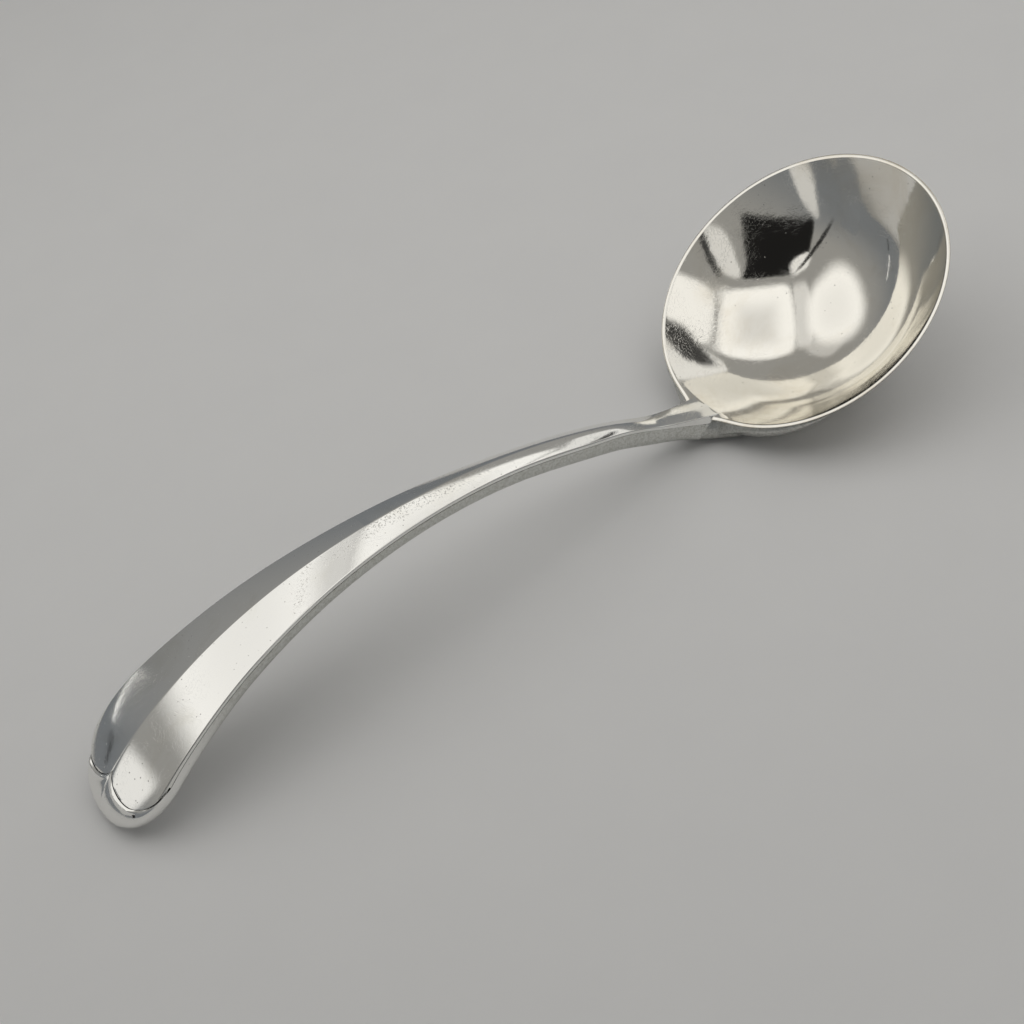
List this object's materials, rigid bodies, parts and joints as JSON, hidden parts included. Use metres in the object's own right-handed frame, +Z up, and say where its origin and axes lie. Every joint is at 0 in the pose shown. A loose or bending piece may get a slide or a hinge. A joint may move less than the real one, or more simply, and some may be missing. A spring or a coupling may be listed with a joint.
{
  "type": "ladle",
  "caption": "Polished metal serving ladle: a round raised bowl on a forged heel and an arched, hollow, ridged handle that widens to a lobed end.",
  "frame": {"origin": "middle of the bounding box, on the table that the bowl and the handle's nose rest on", "axes": "+X from the handle's nose towards the bowl, +Y across the handle to the left when looking along +X, +Z up from the table"},
  "size_m": [0.2938, 0.0936, 0.0494],
  "materials": {
    "bowl_metal": "polished silver plate",
    "heel_metal": "dull silver plate, slightly tarnished",
    "front_metal": "polished silver plate with fine scratches",
    "back_metal": "worn silver plate"
  },
  "bodies": {
    "root": {"bowl": "bowl_metal", "heel": "heel_metal", "handle_front": "front_metal", "handle_back": "back_metal"}
  },
  "joints": []
}
